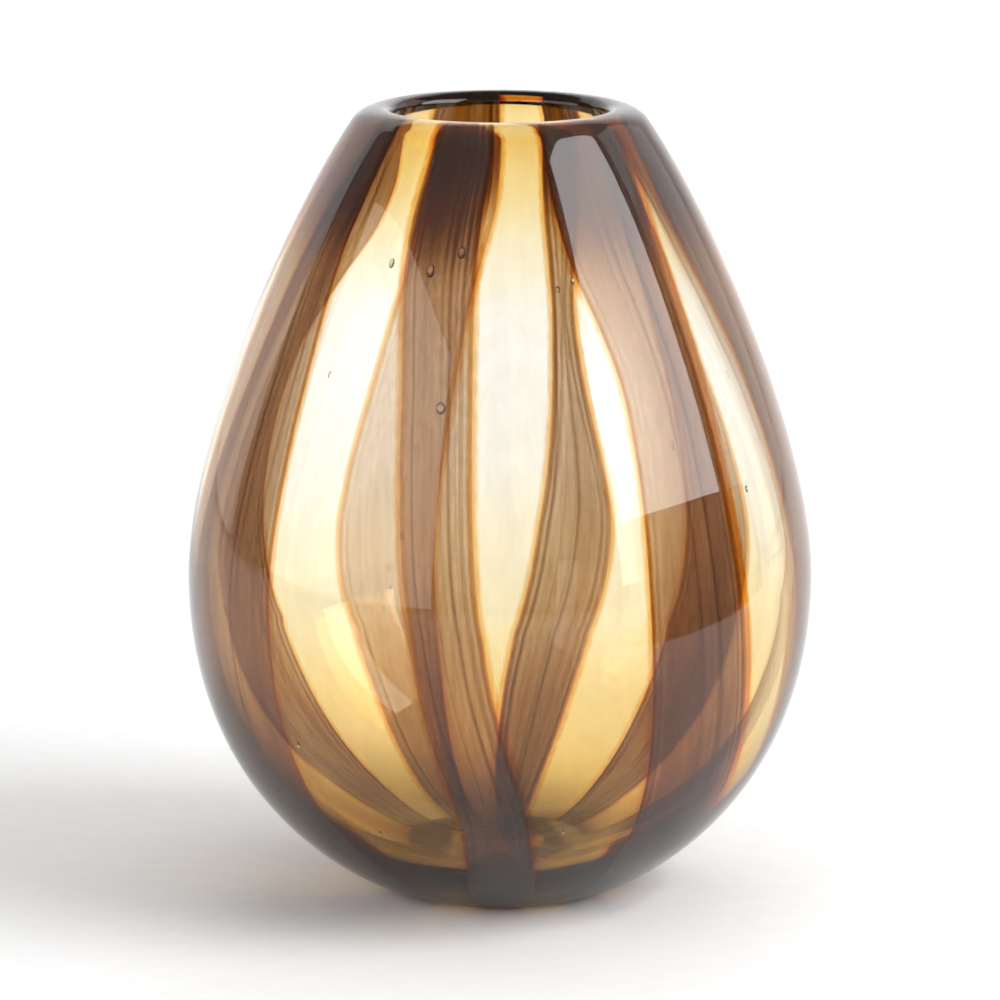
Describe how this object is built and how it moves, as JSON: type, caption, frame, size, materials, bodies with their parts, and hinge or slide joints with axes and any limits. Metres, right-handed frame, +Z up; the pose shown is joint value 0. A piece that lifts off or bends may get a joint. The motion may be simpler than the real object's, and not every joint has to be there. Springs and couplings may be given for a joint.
{
  "type": "vase",
  "caption": "Egg-shaped hand-blown glass vase with a rolled lip, an amber lining, brown lengthwise stripes and a clear casing, standing on a ground foot.",
  "frame": {"origin": "centre of the foot's resting face", "axes": "+Z up through the mouth, -Y towards the viewer, +X to the viewer's right"},
  "size_m": [0.1426, 0.1426, 0.18],
  "materials": {
    "clear_glass": "fire-polished clear casing glass",
    "amber_glass": "transparent honey-amber glass",
    "brown_glass": "transparent tobacco-brown bar glass"
  },
  "bodies": {
    "root": {"clear_overlay": "clear_glass", "amber_lining": "amber_glass", "brown_stripe_front": "brown_glass", "brown_stripe_front_right": "brown_glass", "brown_stripe_right": "brown_glass", "brown_stripe_back_right": "brown_glass", "brown_stripe_back": "brown_glass", "brown_stripe_back_left": "brown_glass", "brown_stripe_left": "brown_glass", "brown_stripe_front_left": "brown_glass"}
  },
  "joints": []
}
